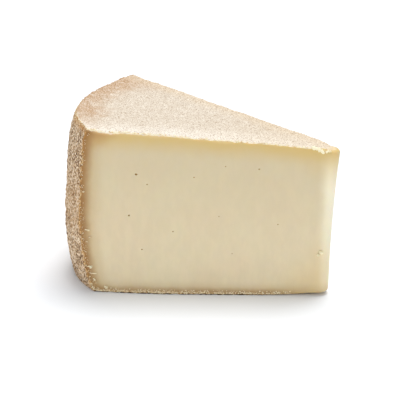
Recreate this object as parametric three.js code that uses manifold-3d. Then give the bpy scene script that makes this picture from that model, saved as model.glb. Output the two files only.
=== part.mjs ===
// A wedge of hard goat's milk cheese with its natural rind, cut from a wheel and standing on the wheel's
// underside. Millimetres, +Z up. The near cut faces -Y, the tip points to +X and the rind's heel to -X.
// The origin is the middle of the wedge's footprint box, on the surface that it stands on.
import * as THREE from "three";
import { ImprovedNoise } from "three/addons/math/ImprovedNoise.js";
import { mergeVertices } from "three/addons/utils/BufferGeometryUtils.js";
import Module from "manifold-3d";

// Driving dimensions. Until the last step, x and y start where the two cuts would meet.
const WEDGE_ANGLE = THREE.MathUtils.degToRad(40);
const NEAR_CUT_LENGTH = 135;
const FAR_CUT_LENGTH = 155;
const RIM_RADIUS = 90;
const HEEL_HEIGHT = 90;
const TIP_HEIGHT = 81.5;

// The heel bulges between its top shoulder and its foot, and turns in at both. Seen from above it is fuller
// than an arc at its foot, and its fullness leans towards the near cut. Over a share of its width, its
// corner by the far cut is rounded, and its rim stands out by the near cut, from a height share up.
const HEEL_BULGE = 5.5;
const BULGE_HEIGHT_SHARE = 0.46;
const SHOULDER_BULGE = 3.4;
const FOOT_BULGE = -0.2;
const RIM_TURN = { inward: 2.2, reach: 12 };
const FOOT_TURN = { inward: 0.8, reach: 2.6 };
const FULLNESS = { foot: 2.7, rim: -0.8 };
const LEAN = { foot: 2.2, rim: 1.7 };
const FAR_CORNER = { inward: 1.3, share: 0.12 };
const NEAR_CORNER = { outward: 1, share: 0.12, start: 0.86 };

// The top rind has a shallow dip inside a low lip at the heel's rim. Places are shares of the way there.
// Both lose part of their strength by the far cut, from a share of the way across.
const RIM_DIP = { depth: 0.8, place: 0.92, width: 0.035 };
const RIM_LIP = { height: 0.6, start: 0.95 };
const RIM_FADE = { strength: 0.5, start: 0.6 };

// The tip is a blunt nose, fuller at the foot than at the top. Its underside is worn up and its top sags a
// little, and the edges of both are rounded, each up to a share of the way to the heel.
const NOSE_TOP_RADIUS = 3.9;
const NOSE_FOOT_RADIUS = 5.8;
const NOSE_POWER = 2.2;
const TIP_LIFT = { height: 1, share: 0.18, power: 1.5 };
const TIP_SAG = { depth: 0.3, share: 0.2 };
const TIP_FOOT_TURN = { inward: 3.8, height: 1.8, share: 0.27 };
const TIP_TOP_TURN = { inward: 1.8, height: 1.8, share: 0.07 };

// Relief of the rind and of the two cuts: how high it stands, and how far apart its waves are. The heel's
// fades out over a height above its foot.
const HEEL_WAVE = { height: 0.3, spacing: 26 };
const HEEL_CRAG = { height: 0.4, spacing: 7 };
const HEEL_FOOT_FADE = 5;
const TOP_WAVE = { height: 0.25, spacing: 30 };
const TOP_GRAIN = { height: 0.15, spacing: 8 };
const CUT_WAVE = { height: 0.3, spacing: 45 };

// The grid that is bent into the wedge, and how strongly its lines gather near the tip and the heel, and
// near the foot and the top.
const STEPS_TO_HEEL = 30;
const STEPS_ACROSS = 28;
const STEPS_UP = 24;
const GATHER_TO_HEEL = 0.5;
const GATHER_UP = 0.8;

// Eyes are the small holes in the paste. Each place is a distance from where the cuts meet, and a height.
const EYE_DEPTH_SHARE = 0.6;
const NEAR_EYES = [
  { along: 113, up: 67, radius: 0.9 },
  { along: 117, up: 44, radius: 0.8 },
  { along: 107, up: 61, radius: 0.5 },
  { along: 93, up: 35, radius: 0.6 },
  { along: 110, up: 25, radius: 0.6 },
  { along: 83, up: 66, radius: 0.5 },
  { along: 49, up: 71, radius: 0.7 },
  { along: 38, up: 40, radius: 0.6 },
];
const FAR_EYES = { count: 9, seed: 7, least: 0.5, greatest: 0.9 };
const FAR_EYE_MARGINS = { tip: 35, heel: 20, foot: 15, top: 12 };

// Where flakes of rind broke off along the top edge of the near cut.
const CHIPS = [
  { along: 16, length: 8, width: 3.2, depth: 1.6, turn: 0.25 },
  { along: 59, length: 3.4, width: 1.4, depth: 0.9, turn: 0 },
  { along: 109, length: 2.6, width: 1.2, depth: 0.8, turn: 0 },
];

const RIND_AND_PASTE = { color: 0xdbc8a4, roughness: 0.6, metalness: 0 };

const NOISE_EXTREME = 0.62;

const { sin, cos, sqrt, exp, atan2, PI } = Math;
const { lerp, clamp, smoothstep } = THREE.MathUtils;
const perlin = new ImprovedNoise();

// Directions seen from above: along each cut from the tip to the heel, and out of the far cut.
const ALONG_NEAR = new THREE.Vector2(-1, 0);
const ALONG_FAR = new THREE.Vector2(-cos(WEDGE_ANGLE), sin(WEDGE_ANGLE));
const OUT_OF_NEAR = new THREE.Vector2(0, -1);
const OUT_OF_FAR = new THREE.Vector2(sin(WEDGE_ANGLE), cos(WEDGE_ANGLE));
const MIDDLE = new THREE.Vector2(-cos(WEDGE_ANGLE / 2), sin(WEDGE_ANGLE / 2));

// The centre of the rim's arc, which passes through the heel end of both cuts.
function rimCentre() {
  const near = ALONG_NEAR.clone().multiplyScalar(NEAR_CUT_LENGTH);
  const far = ALONG_FAR.clone().multiplyScalar(FAR_CUT_LENGTH);
  const half = near.distanceTo(far) / 2;
  const toTip = new THREE.Vector2(far.y - near.y, near.x - far.x).normalize();
  const inward = sqrt(RIM_RADIUS ** 2 - half ** 2);
  return near.add(far).multiplyScalar(0.5).addScaledVector(toTip, inward);
}
const CENTRE = rimCentre();

// Smooth noise of the given wave, from -height to +height. Its rare extremes are cut off.
function relief(wave, x, y, z) {
  const value = perlin.noise(x / wave.spacing, y / wave.spacing, z / wave.spacing);
  return wave.height * clamp(value / NOISE_EXTREME, -1, 1);
}

// Draws the grid's lines closer together near both ends.
function closerAtEnds(share, strength) {
  return lerp(share, (1 - cos(PI * share)) / 2, strength);
}

// How far the heel stands outside the rim's arc at a height share.
function heelProfile(up) {
  const above = clamp((up - BULGE_HEIGHT_SHARE) / (1 - BULGE_HEIGHT_SHARE), 0, 1);
  const below = clamp((BULGE_HEIGHT_SHARE - up) / BULGE_HEIGHT_SHARE, 0, 1);
  const toShoulder = (HEEL_BULGE - SHOULDER_BULGE) * above ** 2;
  const toFoot = (HEEL_BULGE - FOOT_BULGE) * below ** 2;
  const rim = clamp(1 - ((1 - up) * HEEL_HEIGHT) / RIM_TURN.reach, 0, 1);
  const foot = clamp(1 - (up * HEEL_HEIGHT) / FOOT_TURN.reach, 0, 1);
  const rimTurn = RIM_TURN.inward * rim ** 2;
  const footTurn = FOOT_TURN.inward * (1 - sqrt(1 - foot ** 2));
  return HEEL_BULGE - toShoulder - toFoot - rimTurn - footTurn;
}

// The distance along a cut at which it meets the heel's arc of this radius.
function cutEnd(direction, radius) {
  const along = direction.dot(CENTRE);
  return along + sqrt(along ** 2 - CENTRE.lengthSq() + radius ** 2);
}

// How far the heel stands outside an arc, seen from above.
function beyondArc(across, up) {
  const full = lerp(FULLNESS.foot, FULLNESS.rim, up) * sin(PI * across);
  const leaning = lerp(LEAN.foot, LEAN.rim, up) * sin(2 * PI * across);
  const byFarCut = clamp(1 - (1 - across) / FAR_CORNER.share, 0, 1);
  const byNearCut = clamp(1 - across / NEAR_CORNER.share, 0, 1);
  const nearCorner = NEAR_CORNER.outward * byNearCut ** 2 * smoothstep(up, NEAR_CORNER.start, 1);
  return full + leaning + nearCorner - FAR_CORNER.inward * byFarCut ** 2;
}

// A point of the heel: across runs from the near cut, 0, to the far cut, 1.
function heelPoint(across, up) {
  const smooth = RIM_RADIUS + heelProfile(up);
  const near = ALONG_NEAR.clone().multiplyScalar(cutEnd(ALONG_NEAR, smooth)).sub(CENTRE);
  const far = ALONG_FAR.clone().multiplyScalar(cutEnd(ALONG_FAR, smooth)).sub(CENTRE);
  const start = atan2(near.y, near.x) + 2 * PI;
  const end = atan2(far.y, far.x);
  const angle = lerp(start, end, across);
  const arc = new THREE.Vector2(cos(angle), sin(angle));
  const onArc = arc.clone().multiplyScalar(smooth);
  const height = up * HEEL_HEIGHT;
  const rough = relief(HEEL_WAVE, onArc.x, onArc.y, height) + relief(HEEL_CRAG, onArc.x, onArc.y, height);
  const radius = smooth + beyondArc(across, up) + rough * smoothstep(height, 0, HEEL_FOOT_FADE);
  if (across === 0) return ALONG_NEAR.clone().multiplyScalar(cutEnd(ALONG_NEAR, radius));
  if (across === 1) return ALONG_FAR.clone().multiplyScalar(cutEnd(ALONG_FAR, radius));
  return arc.multiplyScalar(radius).add(CENTRE);
}

function noseRadius(up) {
  return lerp(NOSE_FOOT_RADIUS, NOSE_TOP_RADIUS, up ** NOSE_POWER);
}

// A point of the blunt tip, an upright arc that meets both cuts smoothly.
function nosePoint(across, up) {
  const radius = noseRadius(up);
  const centre = MIDDLE.clone().multiplyScalar(radius / sin(WEDGE_ANGLE / 2));
  const start = atan2(OUT_OF_NEAR.y, OUT_OF_NEAR.x);
  const end = atan2(OUT_OF_FAR.y, OUT_OF_FAR.x);
  const angle = lerp(start, end, across);
  return new THREE.Vector2(cos(angle), sin(angle)).multiplyScalar(radius).add(centre);
}

// The height of the top rind, which falls from the heel to the tip.
function topHeight(toHeel, across) {
  const dip = RIM_DIP.depth * exp(-(((toHeel - RIM_DIP.place) / RIM_DIP.width) ** 2));
  const lip = RIM_LIP.height * smoothstep(toHeel, RIM_LIP.start, 1);
  const strength = 1 - RIM_FADE.strength * smoothstep(across, RIM_FADE.start, 1);
  const sag = TIP_SAG.depth * byTip(toHeel, TIP_SAG);
  return lerp(TIP_HEIGHT, HEEL_HEIGHT, toHeel) + (lip - dip) * strength - sag;
}

function footHeight(toHeel) {
  return TIP_LIFT.height * byTip(toHeel, TIP_LIFT) ** TIP_LIFT.power;
}

// A strength that falls from 1 at the tip to 0 at a share of the way to the heel.
function byTip(toHeel, { share }) {
  return 1 - smoothstep(toHeel, 0, share);
}

// How far inward a rounded edge of the tip has turned, at a height away from the edge.
function turnedIn(away, toHeel, turn) {
  const quarter = 1 - sqrt(1 - clamp(1 - away / turn.height, 0, 1) ** 2);
  return turn.inward * quarter * byTip(toHeel, turn);
}

// Draws a point of the tip towards the tip's own middle line, where the foot and the top edge are rounded.
function roundTip(plan, toHeel, up, aboveFoot, belowTop) {
  const inward = turnedIn(aboveFoot, toHeel, TIP_FOOT_TURN) + turnedIn(belowTop, toHeel, TIP_TOP_TURN);
  const halfSin = sin(WEDGE_ANGLE / 2);
  const along = Math.max(noseRadius(up) / halfSin, plan.dot(MIDDLE) / cos(WEDGE_ANGLE / 2) ** 2);
  return plan.lerp(MIDDLE.clone().multiplyScalar(along), inward / (along * halfSin));
}

// Bends the unit cube's surface into the wedge: from the tip to the heel, from the near cut to the far
// cut, and up from the foot to the top.
function bend(toHeel, across, up) {
  const nose = nosePoint(across, up);
  const heel = heelPoint(across, up);
  const plan = nose.lerp(heel, toHeel);
  const cutWave = relief(CUT_WAVE, plan.x, 0, up * HEEL_HEIGHT) * sin(PI * toHeel);
  plan.addScaledVector(OUT_OF_NEAR, cutWave * (1 - across));
  plan.addScaledVector(OUT_OF_FAR, cutWave * across);
  const rind = relief(TOP_WAVE, plan.x, plan.y, 0) + relief(TOP_GRAIN, plan.x, plan.y, 0);
  const foot = footHeight(toHeel);
  const top = topHeight(toHeel, across) + rind;
  const z = lerp(foot, top, up);
  roundTip(plan, toHeel, up, z - foot, top - z);
  return new THREE.Vector3(plan.x, plan.y, z);
}

function wedgeGeometry() {
  const box = new THREE.BoxGeometry(1, 1, 1, STEPS_TO_HEEL, STEPS_ACROSS, STEPS_UP);
  box.deleteAttribute("normal");
  box.deleteAttribute("uv");
  const grid = mergeVertices(box);
  const position = grid.getAttribute("position");
  for (let i = 0; i < position.count; i += 1) {
    const toHeel = closerAtEnds(0.5 - position.getX(i), GATHER_TO_HEEL);
    const across = 0.5 + position.getY(i);
    const up = closerAtEnds(0.5 + position.getZ(i), GATHER_UP);
    const point = bend(toHeel, across, up);
    position.setXYZ(i, point.x, point.y, point.z);
  }
  return grid;
}

// A small blob, which is cut out of the wedge to leave a hole or a chip.
function blob(radii, place, turn) {
  const shape = new THREE.IcosahedronGeometry(1, 1);
  shape.deleteAttribute("normal");
  shape.deleteAttribute("uv");
  shape.scale(radii.x, radii.y, radii.z);
  shape.rotateZ(turn);
  shape.translate(place.x, place.y, place.z);
  return mergeVertices(shape);
}

// An eye's blob, sunk into the cut by a share of its radius.
function eye(direction, outward, { along, up, radius }) {
  const outside = radius * (1 - EYE_DEPTH_SHARE);
  const plan = direction.clone().multiplyScalar(along).addScaledVector(outward, outside);
  return blob(new THREE.Vector3(radius, radius, radius), new THREE.Vector3(plan.x, plan.y, up), 0);
}

// Eyes that are strewn over the far cut, clear of its edges.
function farEyes() {
  const { tip, heel, foot, top } = FAR_EYE_MARGINS;
  const draw = (step) => THREE.MathUtils.seededRandom(FAR_EYES.seed + step);
  return Array.from({ length: FAR_EYES.count }, (_, i) => ({
    along: lerp(tip, FAR_CUT_LENGTH - heel, (i + draw(3 * i)) / FAR_EYES.count),
    up: lerp(foot, TIP_HEIGHT - top, draw(3 * i + 1)),
    radius: lerp(FAR_EYES.least, FAR_EYES.greatest, draw(3 * i + 2)),
  }));
}

function chip({ along, length, width, depth, turn }) {
  const toHeel = along / NEAR_CUT_LENGTH;
  const place = new THREE.Vector3(-along, 0, topHeight(toHeel, 0));
  return blob(new THREE.Vector3(length / 2, width, depth), place, turn);
}

const wasm = await Module();
wasm.setup();

function toSolid(geometry) {
  const vertProperties = new Float32Array(geometry.getAttribute("position").array);
  const triVerts = new Uint32Array(geometry.index.array);
  return new wasm.Manifold(new wasm.Mesh({ numProp: 3, vertProperties, triVerts }));
}

function toGeometry(solid) {
  const mesh = solid.getMesh();
  const geometry = new THREE.BufferGeometry();
  geometry.setAttribute("position", new THREE.BufferAttribute(mesh.vertProperties, 3));
  geometry.setIndex(new THREE.BufferAttribute(mesh.triVerts, 1));
  return geometry;
}

// Moves the origin to the middle of the footprint's box.
function centreOnFoot(geometry) {
  geometry.computeBoundingBox();
  const middle = geometry.boundingBox.getCenter(new THREE.Vector3());
  return geometry.translate(-middle.x, -middle.y, 0);
}

function cheeseWedge() {
  const cuts = [
    ...NEAR_EYES.map((place) => eye(ALONG_NEAR, OUT_OF_NEAR, place)),
    ...farEyes().map((place) => eye(ALONG_FAR, OUT_OF_FAR, place)),
    ...CHIPS.map(chip),
  ];
  const solid = cuts.reduce((rest, cut) => rest.subtract(toSolid(cut)), toSolid(wedgeGeometry()));
  const geometry = centreOnFoot(toGeometry(solid));
  geometry.computeVertexNormals();
  const mesh = new THREE.Mesh(geometry, new THREE.MeshStandardMaterial(RIND_AND_PASTE));
  mesh.name = "cheese_wedge";
  return mesh;
}

const cheese = new THREE.Group();
cheese.add(cheeseWedge());

export default cheese;
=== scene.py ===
"""The looks of a wedge of hard goat's milk cheese, on a pale floor in soft studio light."""

import math
import random

import bmesh
import bpy
import numpy as np
from mathutils import Matrix, Vector, geometry, noise
from mathutils.bvhtree import BVHTree


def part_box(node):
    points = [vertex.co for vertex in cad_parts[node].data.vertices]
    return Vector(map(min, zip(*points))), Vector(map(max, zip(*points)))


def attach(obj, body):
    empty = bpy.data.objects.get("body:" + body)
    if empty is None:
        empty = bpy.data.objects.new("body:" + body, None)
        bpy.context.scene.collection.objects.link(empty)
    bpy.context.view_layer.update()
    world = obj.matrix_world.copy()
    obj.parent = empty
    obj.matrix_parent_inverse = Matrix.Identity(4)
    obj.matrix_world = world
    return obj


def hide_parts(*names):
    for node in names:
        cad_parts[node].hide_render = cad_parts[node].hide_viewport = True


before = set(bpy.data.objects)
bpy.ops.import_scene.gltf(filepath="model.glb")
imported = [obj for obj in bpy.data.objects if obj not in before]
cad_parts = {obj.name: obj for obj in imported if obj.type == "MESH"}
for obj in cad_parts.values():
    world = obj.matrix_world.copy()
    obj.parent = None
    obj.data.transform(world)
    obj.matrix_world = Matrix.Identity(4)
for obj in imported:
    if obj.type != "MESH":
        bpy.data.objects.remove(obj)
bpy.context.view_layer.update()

# Sizes in millimetres. The wedge is worked out with the place where its two cuts meet at x = y = 0, the
# near cut along -X, and is then moved to the frame's box. Blender's own unit is the metre.
MM = 0.001
WEDGE_ANGLE = math.radians(40)
NEAR_CUT_LENGTH = 135
FAR_CUT_LENGTH = 155
RIM_RADIUS = 90
HEEL_HEIGHT = 90
TIP_HEIGHT = 81.5

# The heel bulges between its shoulder and its foot, and turns in at both. Seen from above it is fuller
# than an arc at its foot, and its fullness leans towards the near cut. Over a share of its width, its
# corner by the far cut is rounded, and its rim stands out by the near cut, from a height share up.
HEEL_BULGE = 5.5
BULGE_HEIGHT_SHARE = 0.46
SHOULDER_BULGE = 3.4
FOOT_BULGE = -0.2
RIM_TURN_INWARD = 2.2
RIM_TURN_REACH = 12
FOOT_TURN_INWARD = 0.8
FOOT_TURN_REACH = 2.6
FOOT_FULLNESS = 2.7
FOOT_LEAN = 2.2
RIM_FULLNESS = -0.8
RIM_LEAN = 1.7
NEAR_CORNER_OUTWARD = 1.0
NEAR_CORNER_SHARE = 0.12
NEAR_CORNER_START = 0.86
FAR_CORNER_INWARD = 1.3
FAR_CORNER_SHARE = 0.12

# The top rind's shallow dip and low lip at the rim. Places are shares of the way from tip to heel. Both
# lose a share of their height towards the far cut, from a share across on.
DIP_DEPTH = 0.8
DIP_PLACE = 0.92
DIP_WIDTH = 0.035
LIP_HEIGHT = 0.6
LIP_START = 0.95
FAR_CUT_FADE = 0.5
FAR_CUT_FADE_START = 0.6

# The blunt tip. Its foot is worn up, and its foot and top edge are rounded, up to a share of the way.
NOSE_TOP_RADIUS = 3.9
NOSE_FOOT_RADIUS = 5.8
NOSE_POWER = 2.2
TIP_LIFT = 1.0
TIP_LIFT_SHARE = 0.18
TIP_LIFT_POWER = 1.5
TIP_FOOT_INWARD = 3.8
TIP_FOOT_HEIGHT = 1.8
TIP_FOOT_SHARE = 0.27
TIP_TOP_ROUND = 1.8
TIP_TOP_SHARE = 0.07
TIP_DROP = 0.3
TIP_DROP_SHARE = 0.2

# Relief: how high it stands, how far apart its waves are, and how many octaves it has. The heel's grows
# calmer towards the rim, and fades away to the foot.
HEEL_WAVE = (0.3, 26, 1)
HEEL_CRAG = (0.42, 3.0, 3)
RIM_CALM = 0.75
RIM_CALM_REACH = 7
FOOT_CALM_REACH = 5
TOP_WAVE = (0.25, 30, 1)
TOP_GRAIN = (0.16, 5, 4)
CUT_WAVE = (0.3, 45, 1)
CUT_EDGE_NICK = (0.22, 2.6, 3)

# How the noise of the relief is made: how much it is raised and where it is cut off, and how much lower
# and closer each octave is than the one before.
NOISE_GAIN = 1.6
NOISE_LIMIT = 0.8
OCTAVE_FALL = 0.7
OCTAVE_GAP = 2.1

# The foot of both cuts bellies out a little below a height. By the cuts, the underside's rind stands off
# the floor unevenly, apart from a share of the way at the tip and at the heel.
FOOT_BELLY = 1.9
FOOT_BELLY_REACH = 6
FOOT_CRUMBLE = (0.35, 3.0, 3)
FOOT_CRUMBLE_SEED = 40.0
FOOT_EDGE_LIFT = 0.05
FOOT_EDGE_WIDTH = 1.6
FOOT_EDGE_TIP_SHARE = 0.1
FOOT_EDGE_HEEL_SHARE = 0.03

# Grid steps round the wall of the wedge and up it, how far they gather at both ends, and the spacing of
# the points on top and below, whose rows are shifted by turns and keep a margin from the outline. The
# last two tell Blender to fill the outline only, and how close points may come before they are one.
NEAR_STEPS = 150
NOSE_STEPS = 16
FAR_STEPS = 100
HEEL_STEPS = 200
STEPS_UP = 148
GATHERING = 0.3
TOP_SPACING = 0.75
FOOT_SPACING = 1.6
ROW_SHIFTS = (0.75, 0.25)
OUTLINE_MARGIN = 0.3
FILL_OUTLINE = 1
MERGE_DISTANCE = 1e-5

# Small holes in the paste of the near cut: distance from where the cuts meet, height, and radius. Those
# of the far cut are strewn at random, with margins from its sides.
NEAR_EYES = [
    (112.1, 66.2, 0.75),
    (115.7, 43.4, 0.6),
    (106.4, 60.8, 0.45),
    (92.7, 34.9, 0.5),
    (108.8, 24.5, 0.5),
    (82.1, 65.2, 0.45),
    (68.8, 43.9, 0.35),
    (65.9, 71.5, 0.4),
    (48.5, 70.4, 0.5),
    (38.0, 40.1, 0.42),
    (61.6, 23.3, 0.35),
]
FAR_EYE_COUNT = 14
FAR_EYE_RADII = (0.3, 0.85)
FAR_EYE_MARGINS = {"tip": 30, "heel": 15, "foot": 12, "top": 10}
EYE_SQUASH = 0.7
EYE_UNEVENNESS = 0.3
HOLE_SEED = 7

# Chips along the top edge of the near cut: place, length, width, depth.
CHIPS = [
    (16.0, 8.0, 3.4, 1.6),
    (58.8, 3.0, 1.1, 0.8),
    (108.0, 2.0, 0.9, 0.7),
]
CHIP_UNEVENNESS = 0.5

# Larger crumbs on the near cut: distance from where the cuts meet, height, length, thickness, and how far
# the length slopes. The last five are the torn flap of rind and the crumbs beside it at the tip.
NEAR_CRUMBS = [
    (139.6, 56.2, 1.1, 0.35, 0.0),
    (137.6, 35.0, 2.2, 0.3, 0.1),
    (136.9, 34.6, 1.0, 0.4, 0.0),
    (136.3, 14.4, 2.6, 0.32, -0.1),
    (135.7, 13.7, 1.1, 0.42, 0.0),
    (134.4, 10.4, 3.0, 0.34, 0.05),
    (134.0, 7.1, 1.3, 0.5, 0.6),
    (136.2, 31.0, 1.4, 0.28, 0.0),
    (138.0, 28.3, 1.2, 0.26, 0.0),
    (127.8, 2.9, 1.6, 0.45, 0.3),
    (15.0, 25.0, 1.9, 1.15, 0.3),
    (16.4, 23.6, 1.2, 0.8, 0.0),
    (18.6, 82.0, 5.6, 0.95, 0.5),
    (17.2, 81.3, 2.6, 0.8, 0.6),
    (16.2, 80.3, 2.0, 0.7, 0.3),
    (14.4, 80.4, 1.3, 0.5, 0.2),
    (12.9, 80.9, 1.1, 0.45, 0.0),
]

# Fine crumbs strewn along the edges: how many, and their least and greatest radius. Then how far they
# lie scattered from their edge, and where along it they begin or end. Those by the heel edge are drawn
# towards the foot by a power of their share of the way up.
HEEL_EDGE_CRUMBS = (210, 0.09, 0.27)
HEEL_EDGE_SCATTER = {"foot": 4.0, "rim": 1.2}
HEEL_EDGE_MARGIN = 2
HEEL_EDGE_INSET = 0.1
HEEL_EDGE_POWER = 2.2
RIDGE_CRUMBS = (400, 0.12, 0.36)
RIDGE_SCATTER = 1.4
RIDGE_START = 22
RIDGE_END = NEAR_CUT_LENGTH + 1
RIDGE_RISE = 0.2
RIM_CRUMBS = (140, 0.1, 0.28)
RIM_SCATTER = 2.7
RIM_SHARE = 0.45
FOOT_CRUMBS = (420, 0.1, 0.34)
FOOT_SCATTER = 1.5
FOOT_START = 30
FOOT_RISE = 1.0
TIP_CRUMBS = (36, 0.14, 0.4)
TIP_SCATTER = 3.0
TIP_START = 11
TIP_END = 21
TIP_RISE = {"start": -1.0, "end": 0.2}

# The lumps that make up a larger crumb and how much they vary, how far a fine crumb is stretched, how
# uneven crumbs are, and the share of a crumb's radius that is sunk into the cheese.
CRUMB_PARTS = 4
CRUMB_PART_SIZES = (0.7, 1.2)
CRUMB_STRETCH = (0.8, 1.5)
CRUMB_UNEVENNESS = 0.7
CRUMB_SINK = 0.35
CRUMB_SEED = 11
CRUMB_SEED_STEP = 3.7

# How close together the bulges of a lump are, for a ball of radius 1.
LUMP_BULGES = 1.3

# How far inside the cuts a point stays for each share across, up to the last share for which it holds.
LEAST_INSIDE = 12
LAST_HELD = 0.02

# The materials' places in the wedge's list.
PASTE, HEEL_RIND, TOP_RIND, FOOT_RIND, EYE = range(5)


def clamp(value, low=0.0, high=1.0):
    return np.clip(value, low, high)


def smoothstep(value, low, high):
    share = clamp((value - low) / (high - low))
    return share * share * (3 - 2 * share)


def lerp(start, end, share):
    return start + (end - start) * share


def rough(points, wave, seed=0.0):
    """Noise of a wave at an array of points, from about minus its height to its height."""
    height, spacing, octaves = wave
    scaled = (points + seed) / spacing
    if octaves == 1:
        values = [noise.noise(Vector(p)) for p in scaled]
    else:
        values = [noise.fractal(Vector(p), OCTAVE_FALL, OCTAVE_GAP, octaves) for p in scaled]
    return height * NOISE_GAIN * clamp(np.array(values), -NOISE_LIMIT, NOISE_LIMIT)


# Directions seen from above.
ALONG_NEAR = np.array([-1.0, 0.0])
ALONG_FAR = np.array([-math.cos(WEDGE_ANGLE), math.sin(WEDGE_ANGLE)])
OUT_OF_NEAR = np.array([0.0, -1.0])
OUT_OF_FAR = np.array([math.sin(WEDGE_ANGLE), math.cos(WEDGE_ANGLE)])
MIDDLE = np.array([-math.cos(WEDGE_ANGLE / 2), math.sin(WEDGE_ANGLE / 2)])


def rim_centre():
    """The centre of the rim's arc, which passes through the heel end of both cuts."""
    near = ALONG_NEAR * NEAR_CUT_LENGTH
    far = ALONG_FAR * FAR_CUT_LENGTH
    chord = far - near
    half = np.linalg.norm(chord) / 2
    to_tip = np.array([chord[1], -chord[0]]) / (2 * half)
    return (near + far) / 2 + to_tip * math.sqrt(RIM_RADIUS**2 - half**2)


CENTRE = rim_centre()


def heel_profile(up):
    """How far the heel stands outside the rim's arc at a height share."""
    above = clamp((up - BULGE_HEIGHT_SHARE) / (1 - BULGE_HEIGHT_SHARE))
    below = clamp((BULGE_HEIGHT_SHARE - up) / BULGE_HEIGHT_SHARE)
    to_shoulder = (HEEL_BULGE - SHOULDER_BULGE) * above**2
    to_foot = (HEEL_BULGE - FOOT_BULGE) * below**2
    rim = clamp(1 - (1 - up) * HEEL_HEIGHT / RIM_TURN_REACH)
    foot = clamp(1 - up * HEEL_HEIGHT / FOOT_TURN_REACH)
    rim_turn = RIM_TURN_INWARD * rim**2
    foot_turn = FOOT_TURN_INWARD * (1 - np.sqrt(1 - foot**2))
    return HEEL_BULGE - to_shoulder - to_foot - rim_turn - foot_turn


def cut_end(direction, radius):
    """The distance along a cut at which it meets the heel's arc of this radius."""
    along = direction @ CENTRE
    return along + np.sqrt(along**2 - CENTRE @ CENTRE + radius**2)


def angle_at(plan):
    """The direction from the rim's centre to a point, as an angle from 0 to a full turn."""
    return np.arctan2(plan[:, 1] - CENTRE[1], plan[:, 0] - CENTRE[0]) % (2 * math.pi)


def arc_ends(radius):
    """The angles at which an arc of this radius meets the near cut and the far cut."""
    cuts = (ALONG_NEAR, ALONG_FAR)
    return [angle_at(cut_end(direction, radius)[:, None] * direction) for direction in cuts]


def beyond_arc(across, up):
    """How far the heel stands outside an arc, seen from above."""
    fullness = lerp(FOOT_FULLNESS, RIM_FULLNESS, up) * np.sin(math.pi * across)
    lean = lerp(FOOT_LEAN, RIM_LEAN, up) * np.sin(2 * math.pi * across)
    near_corner = clamp(1 - across / NEAR_CORNER_SHARE) ** 2 * smoothstep(up, NEAR_CORNER_START, 1)
    far_corner = clamp(1 - (1 - across) / FAR_CORNER_SHARE) ** 2
    return fullness + lean + NEAR_CORNER_OUTWARD * near_corner - FAR_CORNER_INWARD * far_corner


def heel_points(across, up):
    """Points of the heel: across runs from the near cut, 0, to the far cut, 1."""
    smooth = RIM_RADIUS + heel_profile(up)
    angle = lerp(*arc_ends(smooth), across)
    arc = np.stack([np.cos(angle), np.sin(angle)], -1)
    height = up * HEEL_HEIGHT
    place = np.column_stack([arc * smooth[:, None], height])
    calm = RIM_CALM * smoothstep(height, HEEL_HEIGHT - RIM_CALM_REACH, HEEL_HEIGHT)
    relief = rough(place, HEEL_WAVE) + rough(place, HEEL_CRAG) * (1 - calm)
    radius = smooth + beyond_arc(across, up) + relief * smoothstep(height, 0, FOOT_CALM_REACH)
    points = CENTRE + arc * radius[:, None]
    for share, direction in ((0, ALONG_NEAR), (1, ALONG_FAR)):
        on_cut = across == share
        points[on_cut] = cut_end(direction, radius[on_cut])[:, None] * direction
    return points


def nose_points(across, up):
    """Points of the blunt tip, an upright arc that meets both cuts smoothly."""
    radius = lerp(NOSE_FOOT_RADIUS, NOSE_TOP_RADIUS, up**NOSE_POWER)
    start = math.atan2(OUT_OF_NEAR[1], OUT_OF_NEAR[0])
    end = math.atan2(OUT_OF_FAR[1], OUT_OF_FAR[0])
    angle = lerp(start, end, across)
    arc = np.stack([np.cos(angle), np.sin(angle)], -1)
    return radius[:, None] * (MIDDLE / math.sin(WEDGE_ANGLE / 2) + arc)


def top_height(to_heel, across):
    """The height of the top rind, which falls from the heel to the tip."""
    dip = DIP_DEPTH * np.exp(-(((to_heel - DIP_PLACE) / DIP_WIDTH) ** 2))
    lip = LIP_HEIGHT * smoothstep(to_heel, LIP_START, 1)
    drop = TIP_DROP * (1 - smoothstep(to_heel, 0, TIP_DROP_SHARE))
    by_far_cut = FAR_CUT_FADE * smoothstep(across, FAR_CUT_FADE_START, 1)
    return lerp(TIP_HEIGHT, HEEL_HEIGHT, to_heel) - (dip - lip) * (1 - by_far_cut) - drop


def round_tip(plan, depth, height, to_heel, up):
    """Draws the tip's foot and its top edge inward, so that each turns through a quarter of a circle."""
    foot = TIP_FOOT_INWARD * quarter_turn(height / TIP_FOOT_HEIGHT)
    top = TIP_TOP_ROUND * quarter_turn(depth / TIP_TOP_ROUND)
    foot = foot * (1 - smoothstep(to_heel, 0, TIP_FOOT_SHARE))
    top = top * (1 - smoothstep(to_heel, 0, TIP_TOP_SHARE))
    nose = lerp(NOSE_FOOT_RADIUS, NOSE_TOP_RADIUS, up**NOSE_POWER) / math.sin(WEDGE_ANGLE / 2)
    along = np.maximum(nose, plan @ MIDDLE / math.cos(WEDGE_ANGLE / 2) ** 2)
    share = (foot + top) / (along * math.sin(WEDGE_ANGLE / 2))
    return plan + (along[:, None] * MIDDLE - plan) * share[:, None]


def quarter_turn(share):
    """How far a quarter circle has turned in, from 0 where it starts to 1 at its end."""
    return 1 - np.sqrt(1 - clamp(1 - share) ** 2)


def inside_cuts(plan, to_heel, across):
    """Holds points between the two cuts, in their order."""
    for outward, share in ((OUT_OF_NEAR, across), (OUT_OF_FAR, 1 - across)):
        least = LEAST_INSIDE * clamp(share, 0, LAST_HELD) * to_heel
        too_far = clamp(plan @ outward + least, 0, None) * (share > 0)
        plan = plan - too_far[:, None] * outward
    return plan


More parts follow.
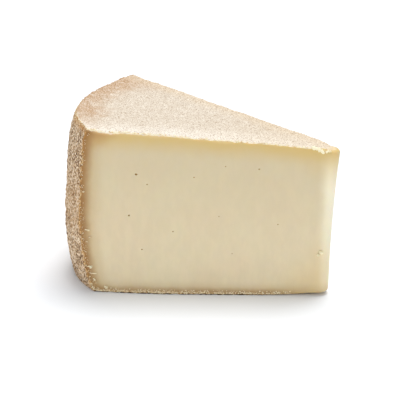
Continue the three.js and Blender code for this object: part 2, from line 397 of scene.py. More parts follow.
def bend(to_heel, across, up):
    """Points of the wedge, from shares of the way to the heel, from the near to the far cut, and up."""
    nose = nose_points(across, up)
    heel = heel_points(across, up)
    plan = inside_cuts(lerp(nose, heel, to_heel[:, None]), to_heel, across)
    height = up * HEEL_HEIGHT
    on_cut = np.column_stack([plan[:, 0], np.zeros(len(plan)), height])
    out = rough(on_cut, CUT_WAVE) * np.sin(math.pi * to_heel) + foot_belly(to_heel, height)
    plan = plan + (out * (1 - across))[:, None] * OUT_OF_NEAR + (out * across)[:, None] * OUT_OF_FAR
    flat = np.column_stack([plan, np.zeros(len(plan))])
    rind = rough(flat, TOP_WAVE) + rough(flat, TOP_GRAIN) + rough(flat, CUT_EDGE_NICK)
    top = top_height(to_heel, across) + rind
    lift = TIP_LIFT * (1 - smoothstep(to_heel, 0, TIP_LIFT_SHARE)) ** TIP_LIFT_POWER
    z = lerp(lift + edge_lift(flat, to_heel), top, up)
    plan = round_tip(plan, top - z, z - lift, to_heel, up)
    return np.column_stack([plan, z])


def foot_belly(to_heel, height):
    """How far the foot of a cut bellies out at a height."""
    return FOOT_BELLY * np.sin(math.pi * to_heel**2) * (1 - smoothstep(height, 0, FOOT_BELLY_REACH))


def edge_lift(flat, to_heel):
    """How far the underside's rind stands off the floor by the two cuts, unevenly."""
    inside = -np.maximum(flat[:, :2] @ OUT_OF_NEAR, flat[:, :2] @ OUT_OF_FAR)
    by_cut = 1 - smoothstep(inside, 0, FOOT_EDGE_WIDTH)
    uneven = clamp(FOOT_EDGE_LIFT + rough(flat, FOOT_CRUMBLE, FOOT_CRUMBLE_SEED), 0, None)
    off_heel = smoothstep(1 - to_heel, 0, FOOT_EDGE_HEEL_SHARE)
    off_tip = smoothstep(to_heel, FOOT_EDGE_TIP_SHARE, TIP_FOOT_SHARE)
    return uneven * by_cut * off_heel * off_tip


def closer_at_ends(share):
    """Even shares gathered a little towards both ends."""
    return lerp(share, (1 - np.cos(math.pi * share)) / 2, GATHERING)


def wall_columns():
    """Shares to the heel and across for each upright line of the wall, anticlockwise from above."""
    near = closer_at_ends(np.linspace(1, 0, NEAR_STEPS, endpoint=False))
    nose = np.linspace(0, 1, NOSE_STEPS, endpoint=False)
    far = closer_at_ends(np.linspace(0, 1, FAR_STEPS, endpoint=False))
    heel = np.linspace(1, 0, HEEL_STEPS, endpoint=False)
    to_heel = np.concatenate([near, 0 * nose, far, 0 * heel + 1])
    across = np.concatenate([0 * near, nose, 0 * far + 1, heel])
    is_heel = np.concatenate([0 * near, 0 * nose, 0 * far, 0 * heel + 1]).astype(bool)
    return to_heel, across, is_heel


def inner_shares(spacing):
    """Shares to the heel and across for points inside the outline, about evenly spaced."""
    rows = int(FAR_CUT_LENGTH / spacing)
    shares = []
    for row in range(1, rows):
        to_heel = row / rows
        width = lerp(2 * NOSE_TOP_RADIUS, 2 * NEAR_CUT_LENGTH * math.sin(WEDGE_ANGLE / 2), to_heel)
        count = max(2, int(width / spacing))
        shares += [(to_heel, (i + ROW_SHIFTS[row % 2]) / count) for i in range(count)]
    return np.array(shares)


def well_inside(points, outline, margin):
    """Which points lie inside an outline, and at least a margin away from it, seen from above."""
    start = outline[None, :, :2]
    along = np.roll(outline, -1, axis=0)[None, :, :2] - start
    to_point = points[:, None, :2] - start
    share = clamp((to_point * along).sum(2) / (along * along).sum(2))
    gap = np.linalg.norm(to_point - share[..., None] * along, axis=2).min(1)
    crossed = (to_point[..., 1] >= 0) != (to_point[..., 1] >= along[..., 1])
    rise = np.where(along[..., 1] == 0, 1, along[..., 1])
    left = to_point[..., 0] < to_point[..., 1] * along[..., 0] / rise
    return (gap > margin) & ((crossed & left).sum(1) % 2 == 1)


def cap(outline, inside):
    """Triangles that fill an outline of points, through the points inside it, seen from above."""
    flat = [Vector(p) for p in np.vstack([outline, inside])[:, :2]]
    loop = list(range(len(outline)))
    made = geometry.delaunay_2d_cdt(flat, [], [loop], FILL_OUTLINE, MERGE_DISTANCE, True)
    made_triangles, made_from = made[2], made[3]
    source = np.array([ids[0] for ids in made_from])
    triangles = source[np.array(made_triangles)]
    middles = np.array(flat)[triangles].mean(1)
    return triangles[well_inside(middles, outline, 0)].tolist()


def wedge_mesh():
    """The closed mesh of the wedge: its wall, its top and its underside."""
    to_heel, across, is_heel = wall_columns()
    columns = len(to_heel)
    levels = closer_at_ends(np.linspace(0, 1, STEPS_UP + 1))
    rows = len(levels)
    wall = bend(np.repeat(to_heel, rows), np.repeat(across, rows), np.tile(levels, columns))
    grid = np.arange(len(wall)).reshape(columns, rows)
    after = np.roll(grid, -1, axis=0)
    quads = np.stack([grid[:, :-1], after[:, :-1], after[:, 1:], grid[:, 1:]], -1)
    kinds = np.repeat(np.where(is_heel, HEEL_RIND, PASTE), rows - 1).tolist()
    faces = [tuple(q) for q in quads.reshape(-1, 4).tolist()]
    points = wall
    for level, spacing, kind in ((-1, TOP_SPACING, TOP_RIND), (0, FOOT_SPACING, FOOT_RIND)):
        shares = inner_shares(spacing)
        up = np.full(len(shares), 1.0 if level == -1 else 0.0)
        inside = bend(shares[:, 0], shares[:, 1], up)
        outline = grid[:, level]
        inside = inside[well_inside(inside, points[outline], OUTLINE_MARGIN)]
        ids = np.concatenate([outline, np.arange(len(inside)) + len(points)])
        for face in cap(points[outline], inside):
            turned = face if level == -1 else face[::-1]
            faces.append(tuple(int(ids[i]) for i in turned))
            kinds.append(kind)
        points = np.vstack([points, inside])
    return points, faces, kinds


def new_object(name, points, faces, materials):
    mesh = bpy.data.meshes.new(name)
    mesh.from_pydata((np.asarray(points) * MM).tolist(), [], faces)
    for material in materials:
        mesh.materials.append(material)
    mesh.validate()
    made = bpy.data.objects.new(name, mesh)
    bpy.context.scene.collection.objects.link(made)
    return made


def ball(steps):
    """Unit points and faces of a ball made by splitting an icosahedron."""
    made = bmesh.new()
    bmesh.ops.create_icosphere(made, subdivisions=steps, radius=1)
    points = np.array([v.co for v in made.verts])
    faces = [tuple(v.index for v in f.verts) for f in made.faces]
    made.free()
    return points, faces


def lump(points, radii, place, seed, unevenness):
    """A ball's points made uneven, stretched and moved."""
    push = np.array([noise.noise(Vector(p) * LUMP_BULGES + Vector((seed, 0, 0))) for p in points])
    return points * (1 + unevenness * push)[:, None] * np.array(radii) + np.array(place)


def join_lumps(lumps, faces):
    """One list of points and faces from many copies of the same ball."""
    count = len(lumps[0])
    all_faces = [tuple(i + n * count for i in face) for n in range(len(lumps)) for face in faces]
    return np.vstack(lumps), all_faces


def eye(points, radius, direction, along, up):
    """A small hole on a cut, squashed a little."""
    radii = (radius, radius, radius * EYE_SQUASH)
    return lump(points, radii, np.append(direction * along, up), along, EYE_UNEVENNESS)


def cutters():
    """The blobs that are cut out of the wedge: eyes in both cuts, and chips on the near top edge."""
    draw = random.Random(HOLE_SEED)
    points, faces = ball(2)
    lumps = [eye(points, radius, ALONG_NEAR, along, up) for along, up, radius in NEAR_EYES]
    margins = FAR_EYE_MARGINS
    for step in range(FAR_EYE_COUNT):
        share = (step + draw.random()) / FAR_EYE_COUNT
        along = lerp(margins["tip"], FAR_CUT_LENGTH - margins["heel"], share)
        radius = draw.uniform(*FAR_EYE_RADII)
        up = draw.uniform(margins["foot"], TIP_HEIGHT - margins["top"])
        lumps.append(eye(points, radius, ALONG_FAR, along, up))
    for along, length, width, depth in CHIPS:
        place = np.append(ALONG_NEAR * along, float(top_height(along / NEAR_CUT_LENGTH, 0)))
        lumps.append(lump(points, (length / 2, width, depth), place, along, CHIP_UNEVENNESS))
    return join_lumps(lumps, faces)


def on_near_cut(along, height):
    """A point of the near cut, at a distance from where the cuts meet."""
    return np.array([-along, -foot_belly(along / NEAR_CUT_LENGTH, height), height])


def larger_crumbs(draw):
    """Places and radii of the lumps that make up the larger crumbs on the near cut."""
    for along, up, length, thickness, slope in NEAR_CRUMBS:
        for step in range(CRUMB_PARTS):
            shift = length * ((step + 0.5) / CRUMB_PARTS - 0.5)
            size = draw.uniform(*CRUMB_PART_SIZES)
            radii = np.array([length / CRUMB_PARTS, thickness, thickness]) * size
            yield on_near_cut(along - shift, up - shift * slope), radii


def strewn(draw, count, least, greatest, place):
    """Places and radii of fine crumbs; place turns a share along an edge and a scatter into a point."""
    for _ in range(count):
        point = np.array(place(draw.random(), draw.random() ** 2))
        radius = draw.uniform(least, greatest)
        yield point, radius * np.array([draw.uniform(*CRUMB_STRETCH), 1, 1])


def by_heel_edge(share, scatter):
    """Beside the heel edge of the near cut, mostly low down."""
    height = lerp(HEEL_EDGE_MARGIN, HEEL_HEIGHT - HEEL_EDGE_MARGIN, share**HEEL_EDGE_POWER)
    edge = cut_end(ALONG_NEAR, RIM_RADIUS + heel_profile(height / HEEL_HEIGHT))
    reach = lerp(HEEL_EDGE_SCATTER["foot"], HEEL_EDGE_SCATTER["rim"], share)
    return [HEEL_EDGE_INSET - edge + reach * scatter, 0, height]


def by_ridge(share, scatter):
    """Along the top edge of the near cut."""
    along = lerp(RIDGE_START, RIDGE_END, share)
    return [-along, RIDGE_SCATTER * scatter, top_height(along / NEAR_CUT_LENGTH, 0) + RIDGE_RISE]


def by_rim(share, scatter):
    """Along the near part of the heel's rim."""
    up = 1 - RIM_SCATTER / HEEL_HEIGHT * scatter
    across = np.array([RIM_SHARE * share])
    angle = lerp(*arc_ends(np.array([RIM_RADIUS + heel_profile(up)])), across)
    radius = RIM_RADIUS + heel_profile(up) + beyond_arc(across, up)
    rim = CENTRE + radius * np.array([np.cos(angle), np.sin(angle)])[:, 0]
    return [*rim, HEEL_HEIGHT + LIP_HEIGHT - RIM_SCATTER * scatter]


def by_foot(share, scatter):
    """Along the foot of the near cut."""
    return on_near_cut(lerp(FOOT_START, NEAR_CUT_LENGTH, share), FOOT_RISE + FOOT_SCATTER * scatter)


def by_tip(share, scatter):
    """On the top rind beside the torn flap at the tip."""
    rise = lerp(TIP_RISE["start"], TIP_RISE["end"], share)
    return [-lerp(TIP_START, TIP_END, share), TIP_SCATTER * scatter, TIP_HEIGHT + rise]


def crumb_places():
    """Places and radii of all crumbs: the larger ones on the near cut, then those along the edges."""
    draw = random.Random(CRUMB_SEED)
    yield from larger_crumbs(draw)
    yield from strewn(draw, *HEEL_EDGE_CRUMBS, by_heel_edge)
    yield from strewn(draw, *RIDGE_CRUMBS, by_ridge)
    yield from strewn(draw, *RIM_CRUMBS, by_rim)
    yield from strewn(draw, *FOOT_CRUMBS, by_foot)
    yield from strewn(draw, *TIP_CRUMBS, by_tip)


def crumb_object(wedge):
    """All crumbs as one mesh, each sunk a little into the wedge's surface beside its place."""
    surface = BVHTree.FromObject(wedge, bpy.context.evaluated_depsgraph_get())
    points, faces = ball(1)
    lumps = []
    sizes = []
    for seed, (place, radii) in enumerate(crumb_places()):
        nearest, normal, _, _ = surface.find_nearest(Vector(place * MM))
        centre = np.array(nearest) / MM + np.array(normal) * radii[1] * (1 - CRUMB_SINK)
        lumps.append(lump(points, radii, centre, seed * CRUMB_SEED_STEP, CRUMB_UNEVENNESS))
        sizes.append(radii.max())
    crumbs = new_object("crumbs", *join_lumps(lumps, faces), [crumb_material()])
    crumbs.data.polygons.foreach_set("use_smooth", np.ones(len(crumbs.data.polygons), bool))
    store(crumbs.data, "size", np.repeat(sizes, len(points)))
    return crumbs


def cut_out(target, cutter):
    """Takes the cutter out of the target for good."""
    cut = target.modifiers.new("cut", "BOOLEAN")
    cut.operation = "DIFFERENCE"
    cut.object = cutter
    cut.solver = "MANIFOLD"
    evaluated = target.evaluated_get(bpy.context.evaluated_depsgraph_get())
    result = bpy.data.meshes.new_from_object(evaluated)
    target.modifiers.remove(cut)
    target.data = result
    bpy.data.objects.remove(cutter)


def mesh_points(mesh):
    values = np.empty(len(mesh.vertices) * 3, np.float32)
    mesh.vertices.foreach_get("co", values)
    return values.reshape(-1, 3) / MM


def store(mesh, name, values):
    """Keeps a value for each point of a mesh, for the materials to read."""
    stored = mesh.attributes.new(name, "FLOAT", "POINT")
    stored.data.foreach_set("value", np.asarray(values, np.float32))


def store_depths(mesh):
    """Keeps each point's distance in millimetres from every side, which the materials read."""
    points = mesh_points(mesh)
    plan, z = points[:, :2], points[:, 2]
    up = clamp(z / HEEL_HEIGHT)
    smooth = RIM_RADIUS + heel_profile(up)
    start, end = arc_ends(smooth)
    along_heel = clamp((angle_at(plan) - start) / (end - start))
    heel_depth = smooth + beyond_arc(along_heel, up) - np.linalg.norm(plan - CENTRE, axis=1)
    from_apex = np.linalg.norm(plan, axis=1)
    to_heel = clamp(from_apex / (from_apex + heel_depth))
    across = clamp(np.arctan2(plan[:, 1], -plan[:, 0]) / WEDGE_ANGLE)
    store(mesh, "top_depth", top_height(to_heel, across) - z)
    store(mesh, "heel_depth", heel_depth)
    store(mesh, "foot_height", z)
    store(mesh, "near_depth", -(plan @ OUT_OF_NEAR))
    store(mesh, "far_depth", -(plan @ OUT_OF_FAR))
    store(mesh, "tip_distance", plan @ MIDDLE)


def sharpen_borders(mesh):
    """Smooth shading, but with a crisp edge where two kinds of surface meet."""
    mesh.polygons.foreach_set("use_smooth", np.ones(len(mesh.polygons), bool))
    kinds = {}
    sharp = np.zeros(len(mesh.edges), bool)
    loop_edges = np.empty(len(mesh.loops), np.int32)
    mesh.loops.foreach_get("edge_index", loop_edges)
    for polygon in mesh.polygons:
        for loop in range(polygon.loop_start, polygon.loop_start + polygon.loop_total):
            edge = int(loop_edges[loop])
            if kinds.setdefault(edge, polygon.material_index) != polygon.material_index:
                sharp[edge] = True
    mesh.edges.foreach_set("use_edge_sharp", sharp)


def srgb(red, green, blue):
    """A linear colour from screen values, which are more than 10 and at most 255."""
    linear = [((c / 255 + 0.055) / 1.055) ** 2.4 for c in (red, green, blue)]
    return (*linear, 1.0)


# The values between which most of a noise's output lies.
NOISE_SPREAD = (0.3, 0.7)


class Tree:
    """A material's nodes, made one at a time and linked by their inputs' names."""

    # A mix node's sockets for colours have no names of their own, only numbers.
    MIX_FACTOR = 0
    MIX_FIRST = 6
    MIX_SECOND = 7
    MIX_RESULT = 2

    def __init__(self, name):
        self.material = bpy.data.materials.new(name)
        self.material.use_nodes = True
        self.nodes = self.material.node_tree.nodes
        self.links = self.material.node_tree.links
        self.shader = self.nodes["Principled BSDF"]
        self.place = self.add("ShaderNodeTexCoord").outputs["Object"]

    def put(self, socket, value):
        if isinstance(value, bpy.types.NodeSocket):
            self.links.new(value, socket)
        else:
            socket.default_value = value

    def add(self, kind, inputs=None, **settings):
        node = self.nodes.new(kind)
        for name, value in settings.items():
            setattr(node, name, value)
        for name, value in (inputs or {}).items():
            self.put(node.inputs[name], value)
        return node

    def attribute(self, name):
        return self.add("ShaderNodeAttribute", attribute_name=name).outputs["Fac"]

    def maths(self, operation, first, second=0.0):
        node = self.add("ShaderNodeMath", operation=operation)
        self.put(node.inputs[0], first)
        self.put(node.inputs[1], second)
        return node.outputs[0]

    def step(self, value, low, high, to_low=0.0, to_high=1.0):
        """A smooth change from one value to another while the input goes from low to high."""
        inputs = {"From Min": low, "From Max": high, "To Min": to_low, "To Max": to_high}
        node = self.add("ShaderNodeMapRange", inputs, interpolation_type="SMOOTHSTEP")
        self.put(node.inputs["Value"], value)
        return node.outputs["Result"]

    def stretched(self, x, y, z):
        """The place on the object, in millimetres over these lengths."""
        scale = (1 / MM / x, 1 / MM / y, 1 / MM / z)
        return self.add("ShaderNodeMapping", {"Vector": self.place, "Scale": scale}).outputs[0]

    def noise(self, size, detail=3.0, roughness=0.55, stretch=(1, 1, 1)):
        """Noise whose waves are about size millimetres apart, around 0.5."""
        place = self.stretched(*(size * s for s in stretch))
        inputs = {"Vector": place, "Scale": 1.0, "Detail": detail, "Roughness": roughness}
        return self.add("ShaderNodeTexNoise", inputs).outputs["Fac"]

    def wavy(self, attribute, size, height):
        """A stored distance plus noise, so that a band that follows it has an uneven border."""
        scaled = self.maths("MULTIPLY", self.noise(size), height)
        return self.maths("ADD", self.attribute(attribute), scaled)

    def mix(self, factor, first, second, blend="MIX"):
        node = self.add("ShaderNodeMix", data_type="RGBA", blend_type=blend)
        self.put(node.inputs[self.MIX_FACTOR], factor)
        self.put(node.inputs[self.MIX_FIRST], first)
        self.put(node.inputs[self.MIX_SECOND], second)
        return node.outputs[self.MIX_RESULT]

    def coat(self, base, colour, distance, full, gone, strength, where=None):
        """A colour over the base: at its strength up to one distance, and fading until another."""
        amount = self.step(distance, full, gone, strength, 0.0)
        if where is not None:
            amount = self.maths("MULTIPLY", amount, where)
        return self.mix(amount, base, colour)

    def ramp(self, value, stops):
        """Colours along a value, from (place, colour) stops with places from 0 to 1."""
        node = self.add("ShaderNodeValToRGB", {"Fac": value})
        bar = node.color_ramp.elements
        while len(bar) < len(stops):
            bar.new(1.0)
        for element, (place, colour) in zip(bar, stops):
            element.position = place
            element.color = colour
        return node.outputs["Color"]

    def bump(self, height, millimetres):
        """Bends the normals as if the height, from 0 to 1, stood so many millimetres high."""
        inputs = {"Height": height, "Distance": millimetres * MM, "Strength": 1.0}
        return self.add("ShaderNodeBump", inputs).outputs["Normal"]

    def finish(self, colour, roughness, normal, **fixed):
        self.put(self.shader.inputs["Base Color"], colour)
        self.put(self.shader.inputs["Roughness"], roughness)
        self.put(self.shader.inputs["Normal"], normal)
        for name, value in fixed.items():
            self.shader.inputs[name.replace("_", " ")].default_value = value
        return self.material


# Colours of the cheese and the floor as screen values, mostly without their light; the tip's glow, the
# edges' highlight, the shadow in the gap at the foot and the shade in the small holes are painted in.
WHITE = srgb(255, 255, 255)
PASTE_COLOUR = srgb(228, 213, 178)
PASTE_PEACH = srgb(228, 210, 175)
PASTE_DULL = srgb(205, 188, 152)
# Painted light: the glow and the highlight at the blunt tip.
PASTE_TIP_GLOW = srgb(243, 235, 206)
PASTE_TIP_HIGHLIGHT = srgb(255, 243, 214)
GOLD = srgb(214, 184, 116)
GOLD_LINE = srgb(233, 207, 158)
OCHRE = srgb(186, 134, 74)
DRIED_BROWN = srgb(158, 110, 54)
DRIED_OLIVE = srgb(192, 160, 104)
# Painted shade inside the small holes.
EYE_SHADE_BROWN = srgb(172, 132, 82)
HEEL_TAN = srgb(203, 167, 125)
HEEL_PALE = srgb(250, 230, 202)
HEEL_DARK = srgb(86, 48, 24)
HEEL_AMBER = srgb(202, 142, 70)
HEEL_GOLD = srgb(232, 196, 134)
TOP_CREAM = srgb(216, 200, 178)
TOP_TAN = srgb(188, 144, 97)
TOP_SPECK = srgb(164, 134, 104)
TOP_FLOUR = srgb(247, 237, 221)
TOP_PEACH = srgb(225, 202, 169)
RIM_BROWN = srgb(176, 138, 98)
# A pale crumbly rind edge with a painted highlight, for the edges and rims.
RIDGE_WHITE_AND_HIGHLIGHT = srgb(243, 231, 206)
CRUMB_PALE = srgb(253, 243, 208)
CRUMB_TAN = srgb(220, 186, 132)
CRUMB_FOOT = srgb(240, 218, 176)
FOOT_TAN = srgb(178, 140, 90)
# Painted shadow: the dark gap under the foot of the cuts.
FOOT_GAP_SHADOW = srgb(62, 42, 24)


def paste_material():
    """Pale ivory paste, which dries to gold under the top rind and to brown by the heel and the foot; a
    glow at the tip, a highlight along the top edge and a shadow in the gap at the foot are painted in.
    """
    tree = Tree("paste")
    top = tree.wavy("top_depth", size=14, height=4.0)
    heel = tree.wavy("heel_depth", size=6, height=2.0)
    foot = tree.wavy("foot_height", size=6, height=1.6)
    tip = tree.attribute("tip_distance")
    wavy_glow_distance = tree.wavy("tip_distance", size=9, height=2.0)
    # Distances from corners are sums of the distances from their sides.
    top_of_tip = tree.maths("ADD", top, tree.maths("MULTIPLY", tip, 0.5))
    foot_of_tip = tree.maths("ADD", foot, tip)
    heel_corner = tree.maths("ADD", tree.maths("MULTIPLY", top, 1.3), heel)
    off_tip = tree.step(tip, low=18, high=44)
    base = tree.mix(tree.step(tree.noise(26), *NOISE_SPREAD), PASTE_COLOUR, PASTE_PEACH)
    streaks = tree.noise(4, detail=5.0, roughness=0.6, stretch=(1, 1, 2.2))
    base = tree.mix(1.0, base, tree.step(streaks, *NOISE_SPREAD, to_low=0.955, to_high=1.0), "MULTIPLY")
    base = tree.coat(base, PASTE_DULL, top, full=6, gone=75, strength=0.55)
    # Painted light: the paste grows brighter and whiter towards the blunt tip, for light from behind and
    # the right glowing on and through it.
    base = tree.coat(base, PASTE_TIP_GLOW, wavy_glow_distance, full=11, gone=18.5, strength=0.88)
    base = tree.coat(base, PASTE_TIP_HIGHLIGHT, tip, full=11, gone=14.5, strength=0.25)
    base = tree.coat(base, GOLD, top, full=2, gone=15, strength=0.95)
    base = tree.coat(base, GOLD, top_of_tip, full=10, gone=34, strength=0.6)
    base = tree.coat(base, GOLD, foot_of_tip, full=16, gone=58, strength=0.4)
    base = tree.coat(base, OCHRE, heel_corner, full=8, gone=26, strength=0.9)
    base = tree.coat(base, DRIED_OLIVE, heel, full=2, gone=13, strength=0.6)
    base = tree.coat(base, DRIED_BROWN, heel, full=1, gone=7, strength=0.9)
    base = tree.coat(base, DRIED_OLIVE, foot, full=2, gone=9, strength=0.5)
    base = tree.coat(base, DRIED_BROWN, foot, full=1.5, gone=5.5, strength=0.65, where=off_tip)
    base = tree.coat(base, GOLD_LINE, top, full=1.5, gone=4.5, strength=0.8)
    # Pale crumbly rind along the top edge, with a painted highlight where the edge catches light.
    ridge = tree.wavy("top_depth", size=2.5, height=2.0)
    base = tree.coat(base, RIDGE_WHITE_AND_HIGHLIGHT, ridge, full=1.2, gone=2.0, strength=0.9)
    crumbly = tree.ramp(tree.noise(1.3, detail=2.0), [(0.42, FOOT_TAN), (0.54, CRUMB_FOOT)])
    edge = tree.wavy("foot_height", size=2, height=1.4)
    base = tree.coat(base, crumbly, edge, full=1.9, gone=2.5, strength=0.9, where=off_tip)
    # Painted shadow: a dark line at the very foot of the cuts, for the shade in the gap under the rind's
    # edge.
    gap_shadow_edge = tree.wavy("foot_height", size=2.2, height=1.5)
    base = tree.coat(base, FOOT_GAP_SHADOW, gap_shadow_edge, full=1.1, gone=1.4, strength=0.95, where=off_tip)
    roughness = tree.step(tree.noise(5), *NOISE_SPREAD, to_low=0.45, to_high=0.6)
    return tree.finish(
        base, roughness, tree.bump(tree.noise(0.8), millimetres=0.03),
        Subsurface_Weight=0.5, Subsurface_Radius=(1.0, 0.7, 0.35), Subsurface_Scale=2.5 * MM,
        Specular_IOR_Level=0.3,
    )


def eye_shade_material():
    """The paste inside the small holes, painted darker brown for the shade in them."""
    tree = Tree("eye")
    grain = tree.noise(0.5)
    base = tree.mix(grain, EYE_SHADE_BROWN, DRIED_OLIVE)
    normal = tree.bump(grain, millimetres=0.03)
    return tree.finish(base, roughness=0.6, normal=normal, Specular_IOR_Level=0.3)


def heel_material():
    """Craggy natural rind: tan, with pale flecks on what stands out, dark brown in the pits, and a pale
    rim edge with a painted highlight.
    """
    tree = Tree("heel_rind")
    fine = tree.noise(0.9, detail=2.0, roughness=0.65, stretch=(1, 1, 1.4))
    broad = tree.step(tree.noise(10, roughness=0.6), *NOISE_SPREAD, to_low=-0.04, to_high=0.04)
    mottle = tree.maths("ADD", fine, broad)
    base = tree.ramp(mottle, [(0.38, HEEL_DARK), (0.45, HEEL_TAN), (0.52, HEEL_TAN), (0.58, HEEL_PALE)])
    height = tree.attribute("foot_height")
    above_foot = tree.step(height, low=22, high=44)
    base = tree.coat(base, HEEL_AMBER, height, full=50, gone=72, strength=0.16, where=above_foot)
    amber = tree.ramp(fine, [(0.4, HEEL_DARK), (0.47, HEEL_AMBER), (0.62, HEEL_GOLD)])
    near_cut = tree.wavy("near_depth", size=3, height=1.6)
    base = tree.coat(base, amber, near_cut, full=1.2, gone=3.2, strength=0.9)
    under_rim = tree.wavy("top_depth", size=5, height=6.0)
    by_near_cut = tree.step(tree.attribute("near_depth"), low=15, high=45, to_low=1.0, to_high=0.4)
    base = tree.coat(base, HEEL_AMBER, under_rim, full=3.0, gone=8.0, strength=0.75, where=by_near_cut)
    # Pale rim edge with a painted highlight.
    rim = tree.wavy("top_depth", size=1.5, height=2.4)
    base = tree.coat(base, RIDGE_WHITE_AND_HIGHLIGHT, rim, full=0.8, gone=1.4, strength=0.8)
    normal = tree.bump(fine, millimetres=0.9)
    return tree.finish(base, roughness=0.8, normal=normal, Specular_IOR_Level=0.2)


def top_material():
    """Floury pale rind with small darker specks, tan towards the rim and peach towards the far cut; its
    edges are pale, with a painted highlight.
    """
    tree = Tree("top_rind")
    fine = tree.noise(0.6, detail=2.0, roughness=0.7)
    patch = tree.noise(4, detail=4.0, roughness=0.65)
    heel = tree.wavy("heel_depth", size=16, height=26.0)
    base = tree.coat(TOP_CREAM, TOP_TAN, heel, full=12, gone=34, strength=0.95)
    far_corner = tree.maths("ADD", tree.attribute("far_depth"), tree.attribute("heel_depth"))
    base = tree.coat(base, TOP_TAN, far_corner, full=12, gone=48, strength=0.8)
    floury = tree.wavy("near_depth", size=12, height=20.0)
    base = tree.mix(tree.step(floury, low=10, high=36, to_low=0.85, to_high=0.1), base, TOP_FLOUR)
    base = tree.mix(tree.step(patch, low=0.48, high=0.66, to_high=0.3), base, TOP_FLOUR)
    far_cut = tree.wavy("far_depth", size=4, height=6.0)
    base = tree.coat(base, TOP_PEACH, far_cut, full=3, gone=15, strength=0.7)
    base = tree.coat(base, TOP_PEACH, tree.attribute("tip_distance"), full=20, gone=90, strength=0.45)
    base = tree.coat(base, TOP_SPECK, fine, full=0.36, gone=0.48, strength=0.9)
    base = tree.mix(tree.step(fine, low=0.52, high=0.62, to_high=0.6), base, TOP_FLOUR)
    # Pale near edge with a painted highlight.
    near_cut = tree.wavy("near_depth", size=2, height=2.0)
    base = tree.coat(base, RIDGE_WHITE_AND_HIGHLIGHT, near_cut, full=1.2, gone=2.4, strength=0.8)
    # The rim edge: pale with a painted highlight by the near cut, brown further on.
    rim = tree.wavy("heel_depth", size=2, height=2.4)
    off_near_cut = tree.step(tree.attribute("near_depth"), low=18, high=34)
    rim_colour = tree.mix(off_near_cut, RIDGE_WHITE_AND_HIGHLIGHT, RIM_BROWN)
    base = tree.coat(base, rim_colour, rim, full=1.2, gone=2.4, strength=0.7)
    tip = tree.wavy("tip_distance", size=3, height=4.0)
    base = tree.coat(base, GOLD_LINE, tip, full=13, gone=17, strength=0.7)
    normal = tree.bump(fine, millimetres=0.25)
    return tree.finish(base, roughness=0.85, normal=normal, Specular_IOR_Level=0.2)


def crumb_material():
    """Crumbs of paste and rind, cream to tan; the larger ones are pale."""
    tree = Tree("crumb")
    base = tree.ramp(tree.noise(1.4, detail=2.0), [(0.4, CRUMB_TAN), (0.54, CRUMB_PALE)])
    large = tree.step(tree.attribute("size"), low=0.35, high=0.5)
    base = tree.mix(large, base, CRUMB_PALE)
    height = tree.add("ShaderNodeSeparateXYZ", {"Vector": tree.place}).outputs["Z"]
    base = tree.coat(base, CRUMB_FOOT, height, full=2.5 * MM, gone=4 * MM, strength=0.25)
    normal = tree.bump(tree.noise(0.3), millimetres=0.03)
    return tree.finish(base, roughness=0.7, normal=normal, Specular_IOR_Level=0.3)


def foot_material():
    """The underside's rind, pressed flat."""
    tree = Tree("foot_rind")
    fine = tree.noise(1.6, detail=4.0, roughness=0.65)
    base = tree.ramp(fine, [(0.35, HEEL_DARK), (0.5, HEEL_TAN), (0.65, HEEL_PALE)])
    normal = tree.bump(fine, millimetres=0.2)
    return tree.finish(base, roughness=0.85, normal=normal, Specular_IOR_Level=0.2)


def floor_material():
    """An almost white floor, a little uneven in its shade."""
    tree = Tree("floor")
    shade = tree.step(tree.noise(400), *NOISE_SPREAD, to_low=0.915, to_high=0.925)
    colour = tree.mix(1.0, WHITE, shade, "MULTIPLY")
    normal = tree.bump(tree.noise(3), millimetres=0.001)
    return tree.finish(colour, roughness=0.9, normal=normal, Specular_IOR_Level=0.0)


def move_to_frame(wedge, pieces):
    """Moves meshes so that the middle of the wedge's footprint box is the frame's; returns the move."""
    points = mesh_points(wedge.data)
    low, high = points.min(0), points.max(0)
    box_low, box_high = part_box("cheese_wedge")
    middle = (np.array(box_low) + np.array(box_high)) / 2 / MM
    shift = np.array([*(middle - (low + high) / 2)[:2], 0.0])
    for piece in pieces:
        piece.data.transform(Matrix.Translation(Vector(shift * MM)))
    return shift


def cheese():
    """The wedge with its holes, depths and materials, and its crumbs; returns how far they were moved."""
    materials = [paste_material(), heel_material(), top_material(), foot_material(), eye_shade_material()]
    points, faces, kinds = wedge_mesh()
    wedge = new_object("aged_goat_wedge", points, faces, materials)
    wedge.data.polygons.foreach_set("material_index", np.array(kinds, np.int32))
    cutter = new_object("holes", *cutters(), materials)
    # The chips come last among the holes, and bare fresh paste.
    hole_kinds = np.full(len(cutter.data.polygons), EYE, np.int32)
    faces_each = len(hole_kinds) // (len(NEAR_EYES) + FAR_EYE_COUNT + len(CHIPS))
    hole_kinds[-faces_each * len(CHIPS):] = PASTE
    cutter.data.polygons.foreach_set("material_index", hole_kinds)
    cut_out(wedge, cutter)
    store_depths(wedge.data)
    sharpen_borders(wedge.data)
    crumbs = crumb_object(wedge)
    shift = move_to_frame(wedge, (wedge, crumbs))
    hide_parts("cheese_wedge")
    for piece in (wedge, crumbs):
        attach(piece, "root")
    return shift


# The camera, matched to the photo: its place in millimetres from where the cuts meet, and its angles.
CAMERA_PLACE = (-67.23, -926.23, 395.52)
CAMERA_TURN = math.radians(-0.718)
CAMERA_TILT = math.radians(20.302)
CAMERA_ROLL = math.radians(0.932)
CAMERA_LENS = 171.14
CAMERA_SENSOR = 36
NEAREST_SEEN = 10 * MM
FARTHEST_SEEN = 20_000 * MM


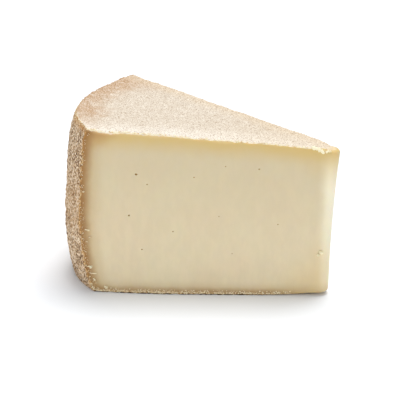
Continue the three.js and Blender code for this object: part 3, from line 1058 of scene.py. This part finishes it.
def camera(shift):
    """The camera, moved with the wedge."""
    data = bpy.data.cameras.new("camera")
    made = bpy.data.objects.new("camera", data)
    bpy.context.scene.collection.objects.link(made)
    data.lens = CAMERA_LENS
    data.sensor_width = CAMERA_SENSOR
    data.clip_start = NEAREST_SEEN
    data.clip_end = FARTHEST_SEEN
    forward = Vector((
        math.sin(CAMERA_TURN) * math.cos(CAMERA_TILT),
        math.cos(CAMERA_TURN) * math.cos(CAMERA_TILT),
        -math.sin(CAMERA_TILT),
    ))
    level = Vector((math.cos(CAMERA_TURN), -math.sin(CAMERA_TURN), 0))
    upright = level.cross(forward)
    right = level * math.cos(CAMERA_ROLL) + upright * math.sin(CAMERA_ROLL)
    upward = right.cross(forward)
    turn = Matrix((right, upward, -forward)).transposed().to_4x4()
    made.matrix_world = Matrix.Translation(Vector((np.array(CAMERA_PLACE) + shift) * MM)) @ turn
    bpy.context.scene.camera = made


# The lights: strength, the direction in which they shine, and how many degrees wide they look. The key
# light comes from above, behind and the right, and the weaker fill from the front.
KEY_LIGHT = (2.35, (-0.11, -0.3, -1.0), 36)
FILL_LIGHT = (0.75, (0.15, 1.0, -0.4), 60)
SURROUNDINGS_COLOUR = (0.89, 0.96, 1.06, 1.0)
SURROUNDINGS_STRENGTH = 0.52
FLOOR_SIZE = 12_000 * MM


def light(name, strength, direction, width):
    """A soft light from far away."""
    data = bpy.data.lights.new(name, "SUN")
    data.energy = strength
    data.angle = math.radians(width)
    made = bpy.data.objects.new(name, data)
    made.rotation_mode = "QUATERNION"
    made.rotation_quaternion = Vector(direction).to_track_quat("-Z", "Y")
    bpy.context.scene.collection.objects.link(made)


def studio():
    """A pale floor, pale surroundings and two soft lights."""
    bpy.ops.mesh.primitive_plane_add(size=FLOOR_SIZE)
    floor = bpy.context.object
    floor.name = "floor"
    floor.data.materials.append(floor_material())
    world = bpy.data.worlds.new("surroundings")
    world.use_nodes = True
    background = world.node_tree.nodes["Background"]
    background.inputs["Color"].default_value = SURROUNDINGS_COLOUR
    background.inputs["Strength"].default_value = SURROUNDINGS_STRENGTH
    bpy.context.scene.world = world
    light("key", *KEY_LIGHT)
    light("fill", *FILL_LIGHT)
    bpy.context.scene.view_settings.view_transform = "Standard"


camera(cheese())
studio()
